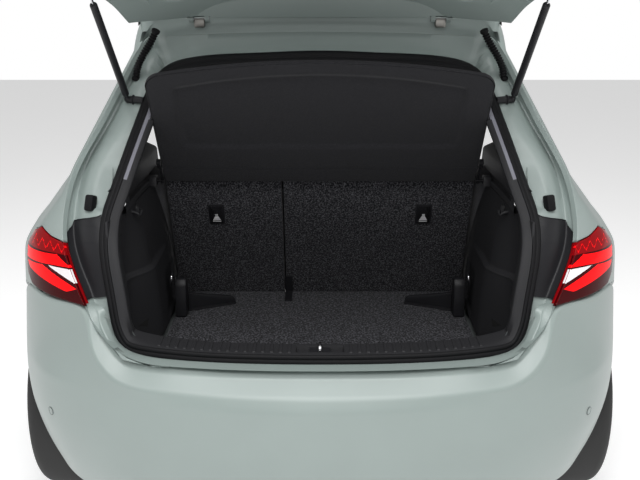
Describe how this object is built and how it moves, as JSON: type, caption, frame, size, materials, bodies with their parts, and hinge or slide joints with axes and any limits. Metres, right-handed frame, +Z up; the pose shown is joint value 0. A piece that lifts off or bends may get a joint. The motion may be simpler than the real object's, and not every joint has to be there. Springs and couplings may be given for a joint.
{
  "type": "rear body section of a hatchback car with an open tailgate",
  "caption": "Rear end of a small hatchback car with its tailgate raised on gas struts, luggage space, folding seat backs, parcel shelf, bumper, lamps, axle and wheels.",
  "frame": {"origin": "centre of the car on the front cut face of the floor's cross-member, 330 mm above the road", "axes": "+X to the car's right, +Y forwards out of the cut face, +Z up"},
  "size_m": [1.7818, 1.3359, 1.9376],
  "materials": {
    "body_paint": "gloss",
    "bumper_paint": "gloss",
    "black_plastic": "fine grain",
    "gloss_black": "gloss",
    "grey_trim": "fine grain",
    "headliner_cloth": "matte",
    "carpet": "felt",
    "shelf_felt": "felt",
    "seat_cloth": "felt",
    "seal_rubber": "matte",
    "lamp_red": "gloss",
    "window_glass": "tinted",
    "strut_black": "satin",
    "strut_steel": "polished",
    "bright_steel": "polished",
    "chassis_black": "satin",
    "primer_grey": "satin",
    "silencer_steel": "dull",
    "tyre_rubber": "matte",
    "wheel_alloy": "satin"
  },
  "bodies": {
    "body_section": {"roof_panel": "body_paint", "quarter_panel_right": "body_paint", "quarter_panel_left": "body_paint", "tail_lamps": "lamp_red", "lamp_covers": "black_plastic", "bump_stops": "seal_rubber", "cable_gaiters": "seal_rubber", "aperture_seal": "seal_rubber", "rear_bumper": "bumper_paint", "bumper_valance": "black_plastic", "back_panel": "primer_grey", "pillar_trims": "grey_trim", "headliner": "headliner_cloth", "side_trim_right": "black_plastic", "side_trim_left": "black_plastic", "bag_hooks": "black_plastic", "sill_trim": "black_plastic", "latch_striker": "bright_steel", "floor_pan": "primer_grey", "wheelhouses": "primer_grey", "boot_floor": "carpet", "axle_beam": "chassis_black", "coil_springs": "chassis_black", "dampers": "chassis_black", "silencer": "silencer_steel", "seat_centre_hinge": "black_plastic", "cargo_brackets": "black_plastic", "lashing_eyes": "bright_steel"},
    "tailgate": {"tailgate_panel": "body_paint", "tailgate_glass": "window_glass", "tailgate_trim": "black_plastic", "tailgate_lamps": "lamp_red", "tailgate_spoiler": "bumper_paint", "rear_wiper": "black_plastic"},
    "strut_cylinder_right": {"strut_cylinder_right": "strut_black"},
    "strut_cylinder_left": {"strut_cylinder_left": "strut_black"},
    "strut_rod_right": {"strut_rod_right": "strut_steel"},
    "strut_rod_left": {"strut_rod_left": "strut_steel"},
    "shelf": {"parcel_shelf": "shelf_felt"},
    "backrest_wide": {"backrest_wide": "seat_cloth"},
    "backrest_narrow": {"backrest_narrow": "seat_cloth"},
    "wheel_right": {"tyre_right": "tyre_rubber", "rim_right": "wheel_alloy"},
    "wheel_left": {"tyre_left": "tyre_rubber", "rim_left": "wheel_alloy"}
  },
  "joints": [
    {"name": "tailgate_hinge", "type": "hinge", "parent": "body_section", "child": "tailgate", "pos_m": [0, -0.507, 1.091], "axis": [1, 0, 0], "range_deg": [0, 84]},
    {"name": "shelf_pivot", "type": "hinge", "parent": "body_section", "child": "shelf", "pos_m": [0, -0.49, 0.635], "axis": [1, 0, 0], "range_deg": [0, 52.4]},
    {"name": "strut_swing_right", "type": "hinge", "parent": "body_section", "child": "strut_cylinder_right", "pos_m": [0.52, -0.605, 0.887], "axis": [0.9835, 0.1779, 0.0336], "range_deg": [0, 96.4]},
    {"name": "strut_slide_right", "type": "slide", "parent": "strut_cylinder_right", "child": "strut_rod_right", "axis": [0.0849, -0.6171, 0.7823], "range_m": [-0.28, 0]},
    {"name": "strut_swing_left", "type": "hinge", "parent": "body_section", "child": "strut_cylinder_left", "pos_m": [-0.52, -0.605, 0.887], "axis": [0.9835, -0.1779, -0.0336], "range_deg": [0, 96.4]},
    {"name": "strut_slide_left", "type": "slide", "parent": "strut_cylinder_left", "child": "strut_rod_left", "axis": [-0.0849, -0.6171, 0.7823], "range_m": [-0.28, 0]},
    {"name": "backrest_wide_pivot", "type": "hinge", "parent": "body_section", "child": "backrest_wide", "pos_m": [-0.11, -0.2429, 0.2418], "axis": [-1, 0, 0], "range_deg": [0, 78]},
    {"name": "backrest_narrow_pivot", "type": "hinge", "parent": "body_section", "child": "backrest_narrow", "pos_m": [-0.11, -0.2429, 0.2418], "axis": [-1, 0, 0], "range_deg": [0, 78]},
    {"name": "wheel_spin_right", "type": "hinge", "parent": "body_section", "child": "wheel_right", "pos_m": [0.735, -0.44, -0.03], "axis": [1, 0, 0], "continuous": true},
    {"name": "wheel_spin_left", "type": "hinge", "parent": "body_section", "child": "wheel_left", "pos_m": [-0.735, -0.44, -0.03], "axis": [1, 0, 0], "continuous": true}
  ],
  "couplings": [
    {"joint": "shelf_pivot", "follows": "tailgate_hinge", "ratio": 0.62381},
    {"joint": "strut_swing_right", "follows": "tailgate_hinge", "ratio": 1.1473},
    {"joint": "strut_slide_right", "follows": "tailgate_hinge", "m_per_rad": -0.19087},
    {"joint": "strut_swing_left", "follows": "tailgate_hinge", "ratio": 1.1473},
    {"joint": "strut_slide_left", "follows": "tailgate_hinge", "m_per_rad": -0.19087}
  ]
}
